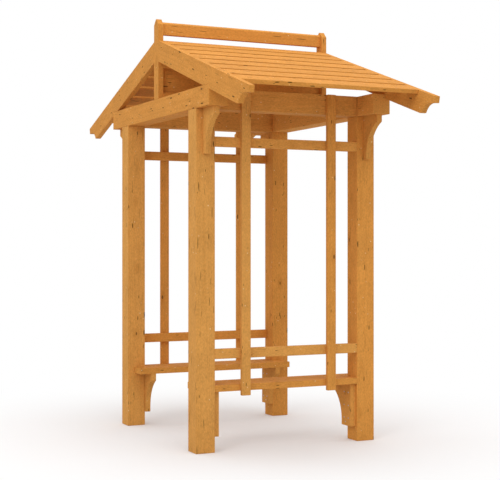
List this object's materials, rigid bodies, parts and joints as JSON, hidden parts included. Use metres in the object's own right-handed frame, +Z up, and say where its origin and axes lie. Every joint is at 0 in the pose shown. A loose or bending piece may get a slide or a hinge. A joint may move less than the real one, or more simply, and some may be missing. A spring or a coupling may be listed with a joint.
{
  "type": "garden gazebo",
  "caption": "Open timber garden gazebo with a boarded gable roof on posts, trellis sides, and facing benches either side of a walk-through passage.",
  "frame": {"origin": "centre of the plan, on the ground under the post feet", "axes": "+X along the ridge and the walk-through passage, +Y across it towards the back bench, +Z up"},
  "size_m": [1.19, 2.734, 2.615],
  "materials": {
    "frame": "planed and oiled, satin",
    "roof_frame": "planed and oiled, satin",
    "roof_boards": "planed and oiled, satin",
    "brackets": "planed and oiled, satin",
    "trellis": "planed and oiled, satin",
    "bench_boards": "planed and oiled, satin",
    "screws": "zinc plated, dull"
  },
  "bodies": {
    "root": {"front_left_post": "frame", "front_right_post": "frame", "back_left_post": "frame", "back_right_post": "frame", "left_tie_beam": "frame", "right_tie_beam": "frame", "front_plate": "frame", "back_plate": "frame", "left_front_rafter": "roof_frame", "left_back_rafter": "roof_frame", "right_front_rafter": "roof_frame", "right_back_rafter": "roof_frame", "left_king_post": "roof_frame", "right_king_post": "roof_frame", "ridge_rail": "roof_frame", "ridge_beam": "roof_frame", "ridge_web": "roof_frame", "ridge_sole": "roof_frame", "front_roof_boards": "roof_boards", "back_roof_boards": "roof_boards", "front_left_corbel": "brackets", "front_right_corbel": "brackets", "back_left_corbel": "brackets", "back_right_corbel": "brackets", "front_left_slat": "trellis", "front_right_slat": "trellis", "back_left_slat": "trellis", "back_right_slat": "trellis", "front_upper_rail": "trellis", "front_lower_rail": "trellis", "back_upper_rail": "trellis", "back_lower_rail": "trellis", "front_seat_outer_board": "bench_boards", "front_seat_inner_board": "bench_boards", "back_seat_outer_board": "bench_boards", "back_seat_inner_board": "bench_boards", "front_left_bracket": "brackets", "front_right_bracket": "brackets", "back_left_bracket": "brackets", "back_right_bracket": "brackets"}
  },
  "joints": []
}
